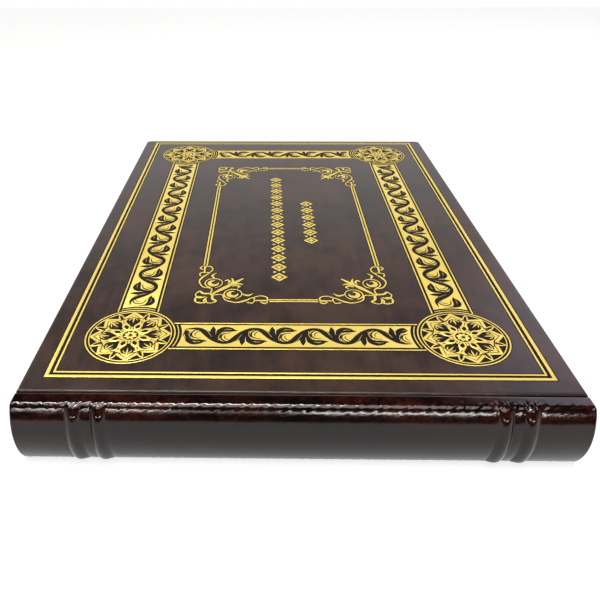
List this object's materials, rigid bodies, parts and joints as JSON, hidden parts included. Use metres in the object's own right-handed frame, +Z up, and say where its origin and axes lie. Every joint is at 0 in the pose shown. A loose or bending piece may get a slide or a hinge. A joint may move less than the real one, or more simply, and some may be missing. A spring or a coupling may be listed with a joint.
{
  "type": "leather book",
  "caption": "Landscape leather-bound book with hinged board covers, a rounded spine with raised bands and gilt tooling on the front cover.",
  "frame": {"origin": "centre of the book's outline on the table, under the back cover", "axes": "+X along the spine, +Y from the spine to the fore edge, +Z up through the closed book"},
  "size_m": [0.215, 0.308, 0.0286],
  "materials": {
    "cover_leather": "satin dark brown calf",
    "spine_leather": "glossy red-brown calf",
    "core_leather": "plain",
    "gilding": "gold leaf",
    "board": "grey millboard",
    "endpaper": "laid paper",
    "pages": "trimmed paper edges",
    "headband": "worked silk",
    "lining_cloth": "open cotton"
  },
  "bodies": {
    "back_cover": {"back_leather": "cover_leather", "back_board": "board", "back_pastedown": "endpaper"},
    "text_block": {"page_block": "pages", "front_flyleaf": "endpaper", "back_flyleaf": "endpaper", "headband_head": "headband", "headband_tail": "headband", "spine_lining": "lining_cloth", "spine_stiffener": "board", "spine_leather": "spine_leather", "band_core_1": "core_leather", "band_core_2": "core_leather", "band_core_3": "core_leather", "band_core_4": "core_leather"},
    "front_cover": {"front_leather": "cover_leather", "front_board": "board", "front_pastedown": "endpaper", "gilt_outer_frame": "gilding", "gilt_inner_frame": "gilding", "gilt_title_panel": "gilding", "gilt_roundel_1": "gilding", "gilt_roundel_2": "gilding", "gilt_roundel_3": "gilding", "gilt_roundel_4": "gilding", "gilt_band_front": "gilding", "gilt_band_back": "gilding", "gilt_band_left": "gilding", "gilt_band_right": "gilding", "gilt_corner_1": "gilding", "gilt_corner_2": "gilding", "gilt_corner_3": "gilding", "gilt_corner_4": "gilding"}
  },
  "joints": [
    {"name": "back_cover_hinge", "type": "hinge", "parent": "back_cover", "child": "text_block", "pos_m": [0, -0.14119, -0.0003], "axis": [-1, 0, 0], "range_deg": [-90, 0]},
    {"name": "front_cover_hinge", "type": "hinge", "parent": "text_block", "child": "front_cover", "pos_m": [0, -0.14119, 0.0288], "axis": [1, 0, 0], "range_deg": [0, 180]}
  ]
}
